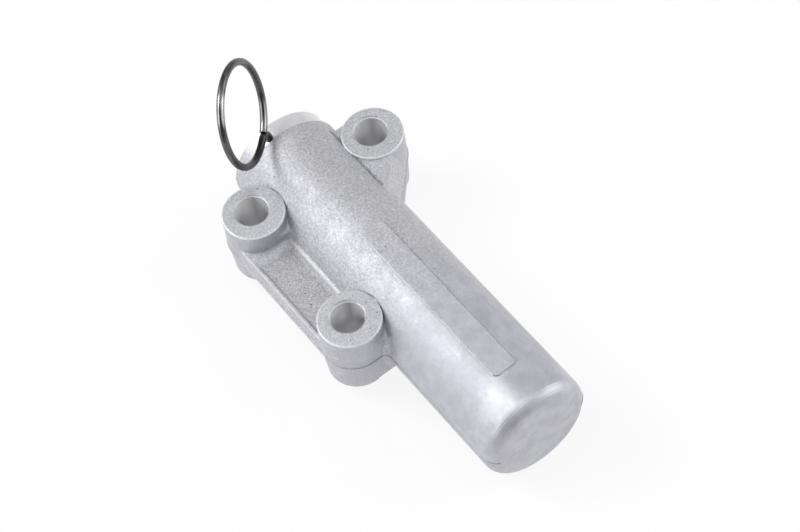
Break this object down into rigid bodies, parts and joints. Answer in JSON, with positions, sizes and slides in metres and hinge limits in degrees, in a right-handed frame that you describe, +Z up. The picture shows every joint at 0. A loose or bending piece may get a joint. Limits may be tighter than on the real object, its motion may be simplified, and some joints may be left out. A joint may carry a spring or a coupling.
{
  "type": "timing chain tensioner",
  "caption": "Cast aluminium hydraulic tensioner: a long round body with side bolt bosses, a sprung push rod in its mouth, and a wire lock pin with a finger ring.",
  "frame": {"origin": "axis of the first bolt hole, on the mounting face, which is the lower face of the bosses", "axes": "+Z up along the bolts, +X along the body towards its closed end, +Y from the first bolt hole across the body"},
  "size_m": [0.1171, 0.0556, 0.0596],
  "materials": {
    "cast_aluminium": "blasted casting",
    "spring_wire": "dark drawn wire",
    "ground_steel": "ground",
    "pressed_steel": "pressed sheet",
    "bearing_plastic": "moulded",
    "seal_rubber": "moulded"
  },
  "bodies": {
    "casting": {"housing": "cast_aluminium", "cylinder_sleeve": "ground_steel", "stop_ring": "spring_wire", "seal_case": "pressed_steel", "seal_lip": "seal_rubber", "garter_spring": "spring_wire", "retaining_ring": "spring_wire", "return_spring": "spring_wire"},
    "rod": {"push_rod": "ground_steel", "wear_ring": "bearing_plastic", "plunger": "ground_steel", "valve_seat": "ground_steel", "ball_cage": "pressed_steel", "ball_spring": "spring_wire"},
    "ball": {"check_ball": "ground_steel"},
    "pin": {"lock_pin": "spring_wire"}
  },
  "joints": [
    {"name": "rod_extend", "type": "slide", "parent": "casting", "child": "rod", "axis": [-1, 0, 0], "range_m": [0, 0.01], "deforming": ["return_spring"]},
    {"name": "pin_pull", "type": "slide", "parent": "casting", "child": "pin", "axis": [0, 0, 1], "range_m": [0, 0.08]},
    {"name": "ball_lift", "type": "slide", "parent": "rod", "child": "ball", "axis": [1, 0, 0], "range_m": [0, 0.0005], "stiffness_N_per_m": 200, "springref_m": -0.0005, "deforming": ["ball_spring"]}
  ],
  "couplings": [
    {"joint": "pin_pull", "follows": "rod_extend", "ratio": 8}
  ]
}
